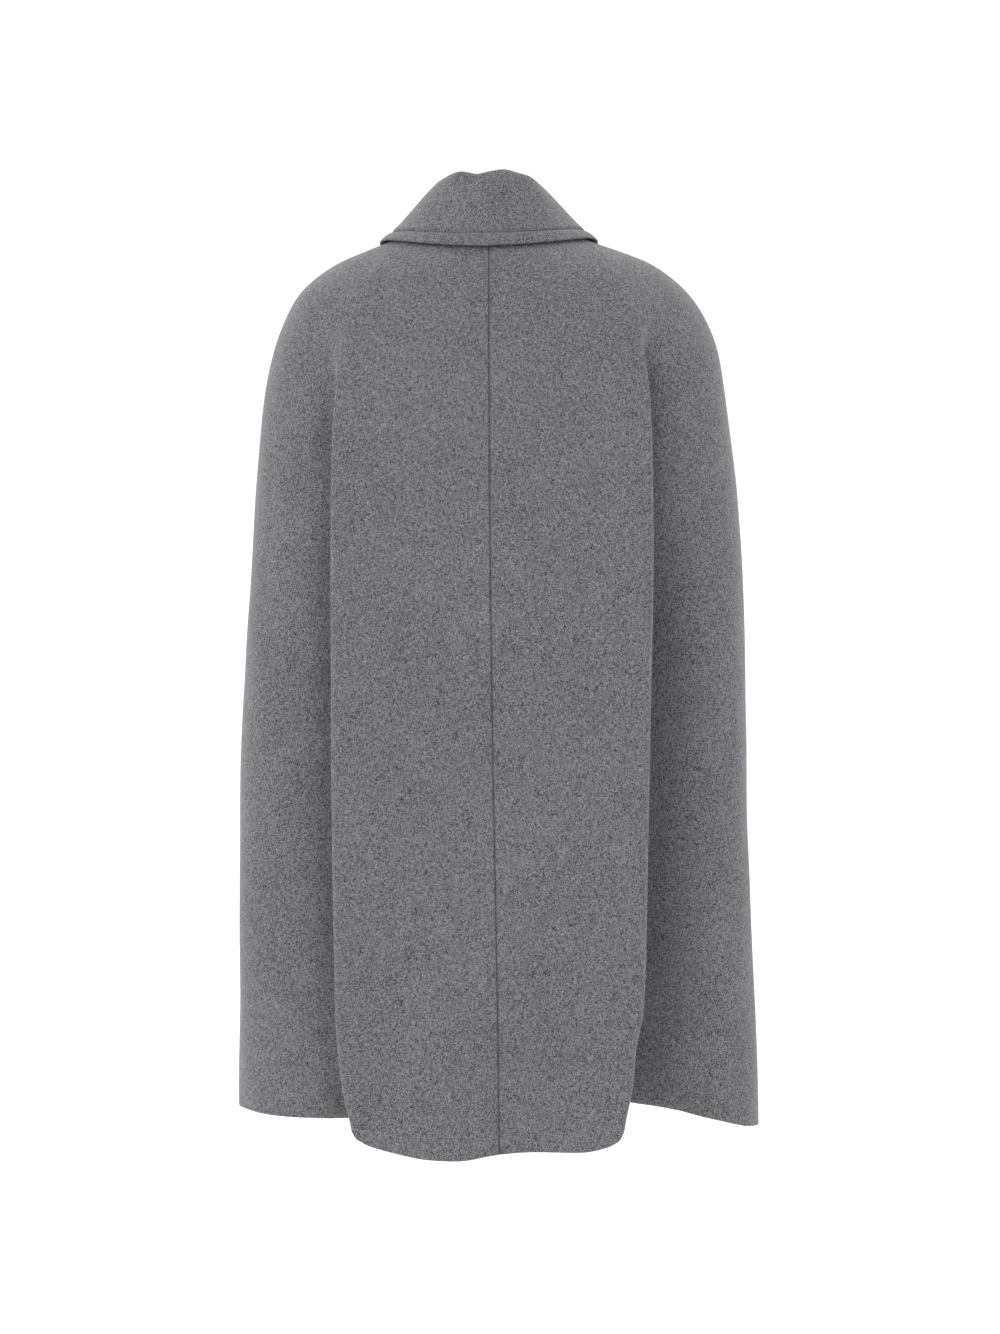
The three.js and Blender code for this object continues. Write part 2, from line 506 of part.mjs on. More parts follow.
// Where a button sits: on the right front, at the centre front.
function buttonPlace(height) {
  let lo = 1, hi = LAST;
  for (let i = 0; i < 40; i++) {
    const m = (lo + hi) / 2;
    if (face(m, -1, ring(m).total).z > height) lo = m; else hi = m;
  }
  const b = bodyAt(lo, -1, ring(lo).total, false);
  return { p: b.p.clone().addScaledVector(b.n, BUTTON.stand), n: b.n };
}

// ---------------------------------------------------------------- the coat
const WOOL = { color: 0x727276, roughness: 0.95, metalness: 0 };
const HORN = { color: 0x3d3c3f, roughness: 0.42, metalness: 0 };
const coat = new THREE.Group();
const add = (name, geometry, look) => {
  const mesh = new THREE.Mesh(geometry, new THREE.MeshStandardMaterial(look));
  mesh.name = name;
  coat.add(mesh);
  return mesh;
};

add('back_left', panel(backColumns, 1), WOOL);
add('back_right', panel(backColumns, -1), WOOL);
add('wing_left', panel(wingColumns, 1), WOOL);
add('wing_right', panel(wingColumns, -1), WOOL);
// The left front stops short of the lap's outer face and lies behind it.
add('front_left', panel(frontColumns, 1, true), WOOL);
add('front_right', panel(frontColumns, -1), WOOL);
add('collar', collar(), WOOL);
BUTTON_HEIGHTS.forEach((height, i) => {
  const { p, n } = buttonPlace(height), g = buttonBody();
  g.applyQuaternion(new THREE.Quaternion().setFromUnitVectors(new THREE.Vector3(0, 1, 0), n));
  g.translate(p.x, p.y, p.z);
  add('button_' + (i + 1), g, HORN);
});

export default coat;
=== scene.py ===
import math

import bpy
import numpy as np
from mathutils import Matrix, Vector


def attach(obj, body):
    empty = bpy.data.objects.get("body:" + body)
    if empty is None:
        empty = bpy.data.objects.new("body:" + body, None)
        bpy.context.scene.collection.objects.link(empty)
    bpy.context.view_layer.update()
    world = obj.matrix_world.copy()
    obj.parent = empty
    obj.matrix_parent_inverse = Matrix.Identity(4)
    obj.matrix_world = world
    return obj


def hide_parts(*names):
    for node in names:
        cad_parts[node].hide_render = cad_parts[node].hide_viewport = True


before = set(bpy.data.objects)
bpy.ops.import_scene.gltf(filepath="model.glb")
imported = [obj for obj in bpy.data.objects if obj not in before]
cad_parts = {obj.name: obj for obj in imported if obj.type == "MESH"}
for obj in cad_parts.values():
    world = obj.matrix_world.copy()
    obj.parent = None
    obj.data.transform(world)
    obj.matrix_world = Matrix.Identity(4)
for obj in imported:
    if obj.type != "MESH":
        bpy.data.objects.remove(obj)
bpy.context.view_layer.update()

# ---------------------------------------------------------------- sizes, mm
WALL = 2.8
SEAM_GAP = 0.3
LAP = 28.0
LAP_DROP = 4.2
LAP_RUN = 42.0
SLIT = dict(top=12, bottom=15, open=25.0)
SEAM_PLACE = 12.0
COLLAR = dict(roll=5.6, lift=2.7, endGap=2.2)
BUTTON = dict(radius=12.5, height=4.4, dish=1.3, rim=2.6, holeRadius=1.1, holeOut=2.7, stand=0.6)
BUTTON_HEIGHTS = [-124, -238, -352, -466, -580]
STITCH_IN = 15.0      # the collar's topstitching lies this far inside its outer edge
EDGE_STITCH_IN = 9.0  # the same along the edge of the right front


def table(columns, rows):
    names = columns.split(" ")
    return [dict(zip(names, r)) for r in rows]


SECTIONS = table('name half lean back front zBack zSide zFront square', [
  ['neckline',    68,   5.5,  65,  55,  -12,    1,  -85, 2.00],
  ['collar edge', 101,  5.0,  81,  74,  -31,  -17,  -96, 2.02],
  ['yoke 1',      131,  3.0,  92,  89,  -47,  -28.5,-108, 2.06],
  ['yoke 2',      160,  1.6, 101, 101,  -64,  -40, -120, 2.11],
  ['yoke 3',      182,  1.5, 109, 111,  -82,  -54, -133, 2.16],
  ['yoke 4',      202,  1.2, 116, 120, -103,  -73, -147, 2.22],
  ['shoulder',    217,  0.4, 122, 127, -127,  -97, -163, 2.28],
  ['upper arm',   229.5,0.5, 128, 134, -156, -130, -186, 2.34],
  ['blade',       237.3,0.9, 133, 140, -192, -172, -214, 2.40],
  ['chest',       243,  0.5, 136, 144, -240, -226, -254, 2.44],
  ['bust',        248, -0.5, 138, 147, -300, -292, -308, 2.46],
  ['under bust',  251.5,-1.2,139, 148, -368, -364, -372, 2.48],
  ['waist',       253.5,-1.0,141, 149, -442, -440, -444, 2.50],
  ['high hip',    253.5, 0.4,143, 150, -520, -520, -520, 2.50],
  ['hip',         253,  1.0, 145, 151, -600, -600, -600, 2.50],
  ['thigh 1',     254,  0.0, 147, 152, -680, -680, -680, 2.50],
  ['thigh 2',     255.5,-1.8,149, 153, -755, -755, -755, 2.50],
  ['thigh 3',     256.5,-2.9,151, 154, -820, -820, -820, 2.50],
  ['thigh 4',     257.2,-3.1,152, 155, -868, -868, -868, 2.50],
  ['hem turn',    257.6,-2.9,153, 156, -898, -898, -898, 2.50],
  ['hem',         257.8,-2.8,153, 156, -915, -915, -915, 2.50],
])
BACK_EDGE = table('z halfL halfR depthL depthR underL underR seamL seamR', [
  [ -12,  56,    56,    0,  0,   0,   0, -10, -10],
  [ -39,  93,    99,    0,  0,   0,   0, -10, -10],
  [ -64, 117,   118,    1,  1,   0,   0, -10, -10],
  [ -90, 134,   135,    2,  3,   0,   0,  -9,  -8],
  [-114, 144,   142,    4,  6,   0,   0,  -7,  -6],
  [-142, 153,   146,    7, 11,   0,   1,  -4,  -3],
  [-171, 157,   149.5, 10, 18,   1,   2,  -2,  -1],
  [-232, 160,   152,   17, 30,   2,   4,   0,   0],
  [-350, 160,   153,   24, 37,   4,   6,   0,   1],
  [-490, 159,   150.5, 27, 38,   5,   6,   1,   2],
  [-625, 158,   147.5, 25, 39,   4,   5,   2,   4],
  [-746, 156,   144.3, 24, 40,   3,   4,   4,   6],
  [-806, 154.5, 142,   25, 40,   1,   1,   7,   9],
  [-840, 152,   135.5, 27, 40,  -3,  -4,  12,  15],
  [-880, 147,   131.5, 29, 40,  -6,  -8,  18,  20],
  [-904, 140.5, 125.5, 31, 40,  -8, -11,  22,  24],
  [-935, 134,   119,   32, 40,  -9, -13,  24,  26],
])
FRONT_EDGE = table('z half depth under seam', [
  [ -85,  54,   0,  0, -10],
  [-110,  86,   0,  0, -10],
  [-140, 108,   1,  0, -9],
  [-180, 124,   3,  0, -7],
  [-240, 134,   6,  0, -3],
  [-350, 140,   8,  1,  0],
  [-460, 142,   6,  0,  0],
  [-640, 142,   6,  0,  0],
  [-760, 142,  12,  1,  2],
  [-860, 140,  18, -2,  8],
  [-935, 136,  22, -6, 14],
])
FOLD = table('p along tuck out', [
  [-90, -90,   0.00,  0.00],
  [-55, -56,   0.00,  0.06],
  [-30, -31,   0.00,  0.20],
  [-14, -13,   0.00,  0.32],
  [ -5,  -3.5, 0.00,  0.36],
  [  0,   0,   0.00,  0.27],
  [  6,  -0.5,-0.25,  0.02],
  [ 14,   0,  -0.80, -0.34],
  [ 22,   1,  -1.00, -0.70],
  [ 30,   4,  -0.90, -0.97],
  [ 42,  15,  -0.60, -1.12],
  [ 66,  41,   0.00, -0.90],
  [100,  84,   0.00, -0.50],
  [135, 128,   0.00, -0.12],
  [155, 155,   0.00,  0.00],
])
FLUTES = table('turnTop turnHem width rise zTop zFull', [
  [ 0.065,  0.075, 45,  6, -560, -900],
  [-0.050, -0.035, 30, -5, -640, -900],
  [-0.120, -0.125, 40,  5, -560, -900],
  [ 0.470,  0.450, 45,  7, -260, -700],
  [ 0.600,  0.620, 40, -8, -300, -800],
  [-0.460, -0.440, 42,  8, -260, -700],
  [-0.580, -0.600, 38, -9, -330, -800],
  [ 0.870,  0.880, 40,  4, -420, -850],
  [-0.880, -0.870, 42, -4, -420, -850],
])
HEM = table('turn z', [
  [-1.000, -917], [-0.860, -919], [-0.750, -922], [-0.640, -930], [-0.550, -932],
  [-0.500, -928], [-0.460, -922], [-0.400, -916], [-0.370, -909], [-0.340, -902],
  [-0.310, -895], [-0.280, -891], [-0.230, -892], [-0.200, -897], [-0.182, -905],
  [-0.165, -916], [-0.150, -922], [-0.120, -927], [-0.050, -928.5], [0.000, -930.5],
  [ 0.060, -936], [ 0.100, -935], [ 0.150, -929], [ 0.180, -922.5], [ 0.198, -915],
  [ 0.212, -907], [ 0.230, -903], [ 0.270, -903.5], [ 0.360, -903], [ 0.430, -900.5],
  [ 0.470, -903], [ 0.540, -913], [ 0.640, -914], [ 0.750, -914], [ 0.860, -918],
  [ 1.000, -917],
])
CENTRE_BACK = table('z x', [
  [-12, 6.0], [-40, 6.4], [-290, 5.4], [-540, 2.4], [-690, -0.5], [-790, -2.4], [-940, -4.4],
])
ROLL_WAVES = table('turn width rise', [
  [0.16, 0.07, 2.4], [0.06, 0.045, -2.0], [-0.09, 0.07, 3.2], [-0.24, 0.08, 1.6], [-0.34, 0.08, -1.2], [0.36, 0.10, -0.8],
])
COLLAR_EDGE = table('turn level place', [
  [-1.00, 4.60, 0.885],
  [-0.88, 2.85, 0.780],
  [-0.75, 1.84, 0.680],
  [-0.60, 1.34, 0.570],
  [-0.45, 1.20, 0.440],
  [-0.25, 1.22, 0.240],
  [ 0.00, 1.33, 0.000],
  [ 0.25, 1.38, 0.240],
  [ 0.45, 1.38, 0.440],
  [ 0.60, 1.46, 0.570],
  [ 0.75, 1.90, 0.680],
  [ 0.88, 2.88, 0.780],
  [ 1.00, 4.60, 0.885],
])
ROLL = dict(half=51, back=61, front=50, zBack=42.5, zSide=39, zFront=-66, lean=8, square=2.3)

# ---------------------------------------------------------------- curves
def smooth(a, b, x):
    t = np.clip((np.asarray(x, float) - a) / (b - a), 0, 1)
    return t * t * (3 - 2 * t)


def curve(xs, ys, steady=True):
    xs, ys = np.asarray(xs, float), np.asarray(ys, float)
    h = np.diff(xs)
    d = np.diff(ys) / h
    m = np.zeros(len(xs))
    m[0], m[-1] = d[0], d[-1]
    for i in range(1, len(xs) - 1):
        if not steady:
            m[i] = (d[i - 1] * h[i] + d[i] * h[i - 1]) / (h[i - 1] + h[i])
        elif d[i - 1] * d[i] > 0:
            w1, w2 = 2 * h[i] + h[i - 1], h[i] + 2 * h[i - 1]
            m[i] = (w1 + w2) / (w1 / d[i - 1] + w2 / d[i])

    def at(x):
        x = np.clip(np.asarray(x, float), xs[0], xs[-1])
        i = np.clip(np.searchsorted(xs, x, side="right") - 1, 0, len(xs) - 2)
        s = (x - xs[i]) / h[i]
        r = 1 - s
        return (1 + 2 * s) * r * r * ys[i] + s * r * r * h[i] * m[i] + s * s * (3 - 2 * s) * ys[i + 1] - s * s * r * h[i] * m[i + 1]

    return at


def by_column(rows, key, of, steady=True):
    rows = sorted(rows, key=lambda r: r[key])
    return curve([r[key] for r in rows], [r[of] for r in rows], steady)


LAST = len(SECTIONS) - 1
section = {k: curve(range(LAST + 1), [r[k] for r in SECTIONS]) for k in SECTIONS[0] if k != "name"}
back_edge = {k: by_column(BACK_EDGE, "z", k) for k in BACK_EDGE[0] if k != "z"}
front_edge = {k: by_column(FRONT_EDGE, "z", k) for k in FRONT_EDGE[0] if k != "z"}
hem_height = by_column(HEM, "turn", "z")
centre_back = by_column(CENTRE_BACK, "z", "x")
collar_level = by_column(COLLAR_EDGE, "turn", "level")
collar_place = by_column(COLLAR_EDGE, "turn", "place")
fold_along = by_column(FOLD, "p", "along", False)
fold_out = by_column(FOLD, "p", "out", False)
fold_tuck = by_column(FOLD, "p", "tuck", False)
FOLD_FROM, FOLD_TO = FOLD[0]["p"], FOLD[-1]["p"]

# ---------------------------------------------------------------- the rings
STEPS = 360
rings = {}


def ring(v):
    key = round(float(v) * 1e6)
    if key in rings:
        return rings[key]
    s = {k: float(f(v)) for k, f in section.items()}
    a = np.pi * np.arange(STEPS + 1) / STEPS
    depth = np.where(np.cos(a) >= 0, s["back"], s["front"])
    r = (np.abs(np.sin(a) / s["half"]) ** s["square"] + np.abs(np.cos(a) / depth) ** s["square"]) ** (-1 / s["square"])
    x, y = r * np.sin(a), r * np.cos(a)
    x[0] = x[-1] = 0
    z = s["zSide"] + (np.where(y >= 0, s["zBack"], s["zFront"]) - s["zSide"]) * (y / depth) ** 2
    q = np.concatenate([[0], np.cumsum(np.hypot(np.diff(x), np.diff(y)))])
    out = dict(s=s, x=x, y=y, z=z, q=q, total=q[-1])
    zb, zf = 0.3 * s["zSide"] + 0.7 * s["zBack"], 0.3 * s["zSide"] + 0.7 * s["zFront"]
    h = STEPS // 2
    for side, L in ((1, "L"), (-1, "R")):
        out[side] = dict(
            tip=float(np.interp(float(back_edge["half" + L](zb)) - side * s["lean"], x[: h + 1], q[: h + 1])),
            depth=float(back_edge["depth" + L](zb)), under=float(back_edge["under" + L](zb)), seam=float(back_edge["seam" + L](zb)),
            frontTip=float(np.interp(float(front_edge["half"](zf)), x[h:][::-1], q[h:][::-1])),
            frontDepth=float(front_edge["depth"](zf)), frontUnder=float(front_edge["under"](zf)), frontSeam=float(front_edge["seam"](zf)),
            middle=side * (float(centre_back(s["zBack"])) - s["lean"]),
        )
    rings[key] = out
    return out


def plain(v, side, q):
    r = ring(v)
    a, flip = np.abs(q), np.where(np.asarray(q) < 0, -1.0, 1.0)
    over = a > r["total"]
    a, flip = np.where(over, 2 * r["total"] - a, a), np.where(over, -1.0, flip)
    return np.stack([r["s"]["lean"] + side * flip * np.interp(a, r["q"], r["x"]), np.interp(a, r["q"], r["y"]), np.interp(a, r["q"], r["z"])], -1)


def folded(p, depth, under):
    full = float(smooth(0, 14, depth))
    out = (p <= FOLD_FROM) | (p >= FOLD_TO)
    return np.where(out, p, p + full * (fold_along(p) + fold_tuck(p) * under - p)), np.where(out, 0, fold_out(p) * depth)


def unit(a):
    return a / np.maximum(np.linalg.norm(a, axis=-1, keepdims=True), 1e-12)


# soft unevenness of the whole cloth: height in mm, wave per mm along x, y, z, phase
WAVES = table("rise kx ky kz phase", [
    [0.55, 0.021, 0.017, 0.0070, 0.4], [0.45, -0.034, 0.026, 0.0110, 2.1], [0.40, 0.012, -0.041, 0.0190, 4.0],
    [0.28, 0.058, 0.031, -0.0230, 1.2], [0.22, -0.047, 0.063, 0.0330, 5.2], [0.16, 0.090, -0.055, 0.0410, 3.3],
])


def uneven(p):
    w = sum(f["rise"] * np.sin(f["kx"] * p[..., 0] + f["ky"] * p[..., 1] + f["kz"] * p[..., 2] + f["phase"]) for f in WAVES)
    more = 1.0 + 1.1 * smooth(20, -90, p[..., 1]) * smooth(-150, -420, p[..., 2])
    return w * more * smooth(-20, -160, p[..., 2])


# creases laid beside the two long folds: fromEdge, fromEdgeHem: how far
# round from the fold's edge, at the top and at the hem. rise below zero: a
# trough. It grows from zTop to zFull, and past zEase it eases to share of it.
CREASES = table("side fromEdge fromEdgeHem width rise zTop zFull zEase share", [
    [-1, 28, 34, 16, -15, -110, -190, -320, 0.0],
    [-1, 50, 62, 36, -28, -250, -470, -850, 0.5],
    [1, 32, 40, 18, -8, -130, -230, -700, 0.30],
    [1, 104, 120, 40, 5, -300, -520, -860, 0.6],
])


def face(v, side, q, lapped=False, waves=True):
    q = np.asarray(q, float)
    r = ring(v)
    e = r[side]
    along, out = folded(q - e["tip"], e["depth"], e["under"])
    base = e["tip"] + along
    along2, out2 = folded(e["frontTip"] - q, e["frontDepth"], e["frontUnder"])
    fore = q > (e["tip"] + e["frontTip"]) / 2
    base, out = np.where(fore, e["frontTip"] - along2, base), np.where(fore, out2, out)
    p = plain(v, side, base)
    v0, v1, share = max(v - 0.02, 0), min(v + 0.02, LAST), base / r["total"]
    T = plain(v, side, base + 0.5) - plain(v, side, base - 0.5)
    D = plain(v1, side, share * ring(v1)["total"]) - plain(v0, side, share * ring(v0)["total"])
    N = unit(np.cross(T, D) if side > 0 else np.cross(D, T))
    for f in FLUTES:
        t = np.clip((f["zTop"] - p[..., 2]) / (f["zTop"] - f["zFull"]), 0, 1)
        away = side * q - (f["turnTop"] + (f["turnHem"] - f["turnTop"]) * t) * r["total"]
        away = away - 2 * r["total"] * np.round(away / (2 * r["total"]))
        out = out + f["rise"] * smooth(0, 1, t) * np.exp(-((away / f["width"]) ** 2))
    for c in CREASES:
        if c["side"] == side:
            t = smooth(c["zTop"], c["zFull"], p[..., 2]) * (1 - (1 - c["share"]) * smooth(c["zEase"], c["zEase"] - 120, p[..., 2]))
            down = np.clip((c["zTop"] - p[..., 2]) / (c["zTop"] + 915), 0, 1)
            away = q - e["tip"] - (c["fromEdge"] + (c["fromEdgeHem"] - c["fromEdge"]) * down)
            out = out + c["rise"] * t * np.exp(-((away / c["width"]) ** 2))
    if lapped:
        full = r["total"] - LAP - 8
        run = min(LAP_RUN, 0.85 * (full - e["frontTip"]))
        out = out - LAP_DROP * smooth(full - run, full, q)
    if waves:
        out = out + uneven(p)
    p = p + N * out[..., None]
    turn = side * q / r["total"]
    turn = np.where(turn > 1, turn - 2, np.where(turn < -1, turn + 2, turn))
    p[..., 2] += (hem_height(turn) - SECTIONS[LAST]["zBack"]) * smooth(-640, SECTIONS[LAST]["zBack"], p[..., 2])
    return p


# ---------------------------------------------------------------- the panels
def squeeze(room, full):
    return min(1.0, room / full)


half = 0.0       # the seams are sewn shut here


def back_columns(v, side):
    e = ring(v)[side]
    k, kw = squeeze(e["tip"] - e["middle"], 135), squeeze(e["frontTip"] - e["tip"], 360)
    start, inner, s, t = e["middle"] + half, e["tip"] - 90 * k, (SEAM_PLACE + e["seam"]) * kw, e["tip"]
    return [start, start + (inner - start) * 0.36, start + (inner - start) * 0.7, inner, t - 54 * k, t - 28 * k, t - 11 * k, t - 2.5 * k,
            t + 0.3 * s, t + 0.62 * s, t + s - half]


def wing_columns(v, side):
    r = ring(v)
    e = r[side]
    k = squeeze(e["frontTip"] - e["tip"], 360)
    s, f = (SEAM_PLACE + e["seam"]) * k, (SEAM_PLACE + e["frontSeam"]) * k
    t, u = e["tip"], e["frontTip"]
    a, b, valley = t + 170 * k, u - 130 * k, 66 * k
    slit = SLIT["open"] * math.sin(math.pi * (v - SLIT["top"]) / (SLIT["bottom"] - SLIT["top"])) if SLIT["top"] < v < SLIT["bottom"] else 0
    return ([t + s + half] + [t + s + (valley - s) * w for w in (0.2, 0.45, 1)] + [t + p * k for p in (88, 112, 140)] + [a, a + (b - a) * 0.33, a + (b - a) * 0.67, b]
            + [u - p * k for p in (98, 68)] + [u - f - (68 * k - f) * 0.55, u - f - (68 * k - f) * 0.22 - slit * 0.5, u - f - half - slit])


def front_columns(v, side):
    r = ring(v)
    e = r[side]
    kw, k = squeeze(e["frontTip"] - e["tip"], 360), squeeze(r["total"] - e["frontTip"] - LAP - 12, 100)
    s, u, T = (SEAM_PLACE + e["frontSeam"]) * kw, e["frontTip"], r["total"]
    flat, lap = u + 90 * k, T - LAP - 8
    return [u - s + half, u - s * 0.45, u + 3 * k, u + 22 * k, u + 52 * k, flat, flat + (lap - flat) * 0.5, lap, T - LAP, T - LAP / 2, T, T + LAP / 2, T + LAP]


ROWS_PER = 9         # rows between two sections
COLS_PER = 9         # columns between two of a panel's named columns
rows = np.concatenate([np.linspace(i, i + 1, ROWS_PER, endpoint=False) for i in range(LAST)] + [[LAST - 0.16, LAST - 0.07, LAST - 0.025, LAST]])
rows = np.unique(np.round(rows, 5))
NEAR = np.array([0.0, 0.35, 0.8, 1.4, 2.2, 3.4, 5.0, 7.2, 10.0])


def mesh_object(name, verts, quads):
    me = bpy.data.meshes.new(name)
    me.from_pydata([tuple(p) for p in (np.asarray(verts) / 1000.0)], [], [tuple(int(i) for i in f) for f in quads])
    me.validate()
    me.polygons.foreach_set("use_smooth", [True] * len(me.polygons))
    ob = bpy.data.objects.new(name, me)
    bpy.context.scene.collection.objects.link(ob)
    return ob


def normals_of(g, flip):
    T, D = np.gradient(g, axis=1), np.gradient(g, axis=0)
    return unit(np.cross(D, T) if flip else np.cross(T, D))


def shell(name, outer, inner, flip):
    """A closed wall from matching grids of outer and inner points."""
    m, n = outer.shape[:2]
    mid = (outer + inner) / 2
    verts = np.concatenate([outer.reshape(-1, 3), inner.reshape(-1, 3)])
    O = np.arange(m * n).reshape(m, n)
    I = O + m * n
    f = []
    f.append(np.stack([O[:-1, :-1], O[:-1, 1:], O[1:, 1:], O[1:, :-1]], -1).reshape(-1, 4))
    f.append(np.stack([I[:-1, :-1], I[1:, :-1], I[1:, 1:], I[:-1, 1:]], -1).reshape(-1, 4))
    f.append(np.stack([O[:-1, 0], O[1:, 0], I[1:, 0], I[:-1, 0]], -1))
    f.append(np.stack([O[:-1, -1], I[:-1, -1], I[1:, -1], O[1:, -1]], -1))
    f.append(np.stack([O[0, :-1], I[0, :-1], I[0, 1:], O[0, 1:]], -1))
    f.append(np.stack([O[-1, :-1], O[-1, 1:], I[-1, 1:], I[-1, :-1]], -1))
    quads = np.concatenate(f)
    if not flip:
        quads = quads[:, ::-1]
    return mesh_object(name, verts, quads)


def cut_of(g):
    """Widest, longest and area of a grid of points, in metres."""
    w = np.linalg.norm(np.diff(g, axis=1), axis=-1).sum(1).max()
    l = np.linalg.norm(np.diff(g, axis=0), axis=-1).sum(0).max()
    a, b, c, d = g[:-1, :-1], g[1:, :-1], g[1:, 1:], g[:-1, 1:]
    area = 0.5 * (np.linalg.norm(np.cross(b - a, c - a), axis=-1) + np.linalg.norm(np.cross(c - a, d - a), axis=-1)).sum()
    return math.ceil(w + 1) / 1000, math.ceil(l + 1) / 1000, area / 1e6


def panel(name, columns, side, lapped=False, seams=(True, True), stitch=None):
    grid, dist = [], []
    for v in rows:
        c = np.array(columns(v, side))
        n = len(c)
        base = np.interp(np.linspace(0, n - 1, (n - 1) * COLS_PER + 1), np.arange(n), c)
        room = (c[-1] - c[0]) * 0.16
        near = np.minimum(NEAR[1:], room * NEAR[1:] / 10)
        q = np.sort(np.concatenate([base, c[0] + near, c[-1] - near]))
        grid.append(face(v, side, q, lapped))
        dist.append((q - c[0], c[-1] - q))
    g = np.array(grid)
    N = normals_of(g, side < 0)
    push = np.zeros(g.shape[:2])
    d0, d1 = np.array([d[0] for d in dist]), np.array([d[1] for d in dist])
    for k, (sewn, d) in enumerate(zip(seams, (d0, d1))):
        middle = name[5:9] == "back" and k == 0
        fade = 1.0 if middle else 0.30 + 0.70 * smooth(-120, -230, g[..., 2])
        if sewn:      # the cloth dips into the seam, with the pressed-open turnings under it
            push += fade * (-(2.2 if middle else 1.1) * np.exp(-((d / (0.8 if middle else 1.1)) ** 2)) + 0.14 * np.exp(-(((d - 7) / 3.5) ** 2)))
        else:         # a folded edge, rounded over
            push += -0.75 * np.exp(-((d / 1.1) ** 2))
    if stitch is not None:
        push += -0.5 * np.exp(-(((d1 - stitch) / 1.2) ** 2)) * smooth(-95, -125, g[..., 2])
    up = np.array([0.0] + list(np.cumsum(np.linalg.norm(np.diff(g[:, g.shape[1] // 2], axis=0), axis=-1))))
    from_hem = (up[-1] - up)[:, None]
    push += -0.8 * np.exp(-((from_hem / 1.2) ** 2)) - 0.25 * np.exp(-(((from_hem - 34) / 3.0) ** 2))
    outer = g + N * push[..., None]
    inner = g - N * (WALL + np.minimum(push, 0) * 0 - 0.75 * np.exp(-((from_hem / 1.2) ** 2)))[..., None]
    ob = shell(name, outer, inner, side < 0)
    w, l, area = cut_of(g)
    return ob, dict(flat=(w, l), area=min(area, w * l)), g, N, (d0, d1)


# ---------------------------------------------------------------- the collar
UP = np.array([0.0, 0.0, 1.0])


def hermite(a, ta, b, tb, t):
    t = np.asarray(t, float)[:, None]
    r = 1 - t
    return (1 + 2 * t) * r * r * a + t * r * r * ta + t * t * (3 - 2 * t) * b - t * t * r * tb


def body_at(v, side, q, lapped):
    v0, v1, share = max(v - 0.03, 0), min(v + 0.03, LAST), q / ring(v)["total"]
    f = lambda vv, qq: face(vv, side, np.array([qq]), lapped)[0]
    T = f(v, q + 0.4) - f(v, q - 0.4)
    D = unit(f(v1, share * ring(v1)["total"]) - f(v0, share * ring(v0)["total"]))
    n = unit(np.cross(T, D) if side > 0 else np.cross(D, T))
    return f(v, q), n, D


STAND_N, ROLL_N, FALL_N = ((12, 14, 84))


def collar_line(turn):
    side, g, r0 = (1 if turn >= 0 else -1), abs(turn), ring(0)
    q0 = g * (r0["total"] - COLLAR["endGap"])
    neck, neck_n, neck_d = body_at(0, side, q0, side > 0)
    start = neck - neck_n * WALL / 2 - neck_d * SEAM_GAP
    flat = plain(0, side, np.array([q0]))[0] - np.array([r0["s"]["lean"], 0, 0])
    a = math.atan2(abs(flat[0]), flat[1])
    depth = ROLL["back"] if flat[1] >= 0 else ROLL["front"]
    rad = ((math.sin(a) / ROLL["half"]) ** ROLL["square"] + (abs(math.cos(a)) / depth) ** ROLL["square"]) ** (-1 / ROLL["square"])
    x, y = rad * math.sin(a), rad * math.cos(a)
    z = ROLL["zSide"] + ((ROLL["zBack"] if y >= 0 else ROLL["zFront"]) - ROLL["zSide"]) * (y / depth) ** 2
    for b in ROLL_WAVES:
        z += b["rise"] * math.exp(-(((turn - b["turn"]) / b["width"]) ** 2))
    centre = np.array([ROLL["lean"] + side * x, y, z - COLLAR["roll"]])
    out = unit(np.array([side * x / ROLL["half"] ** 2, y / depth**2, 0.0]))
    level = float(collar_level(turn))
    body, body_n, body_d = body_at(level, side, float(collar_place(turn)) * ring(level)["total"], False)
    edge = body + body_n * (WALL / 2 + COLLAR["lift"])
    to = edge - centre
    leave = math.atan2(-to @ UP, to @ out) * 0.94
    b = np.pi - np.linspace(0, 1, ROLL_N + 1) * (np.pi / 2 + leave)
    roll = centre + COLLAR["roll"] * (np.cos(b)[:, None] * out + np.sin(b)[:, None] * UP)
    rise, drop = np.linalg.norm(roll[0] - start), np.linalg.norm(roll[-1] - edge)
    stand = hermite(start, -neck_d * rise, roll[0], UP * rise * 0.8, np.linspace(0, 1, STAND_N, endpoint=False))
    go = (out * math.cos(leave) - UP * math.sin(leave)) * drop * 0.9
    t = np.linspace(0, 1, FALL_N + 1)[1:] ** 0.78
    t = np.concatenate([t[:-1], 1 - np.array([0.006, 0.003, 0.0])])
    fall = hermite(roll[-1], go, edge, body_d * drop * 0.75, np.sort(t))
    return np.concatenate([stand, roll, fall])


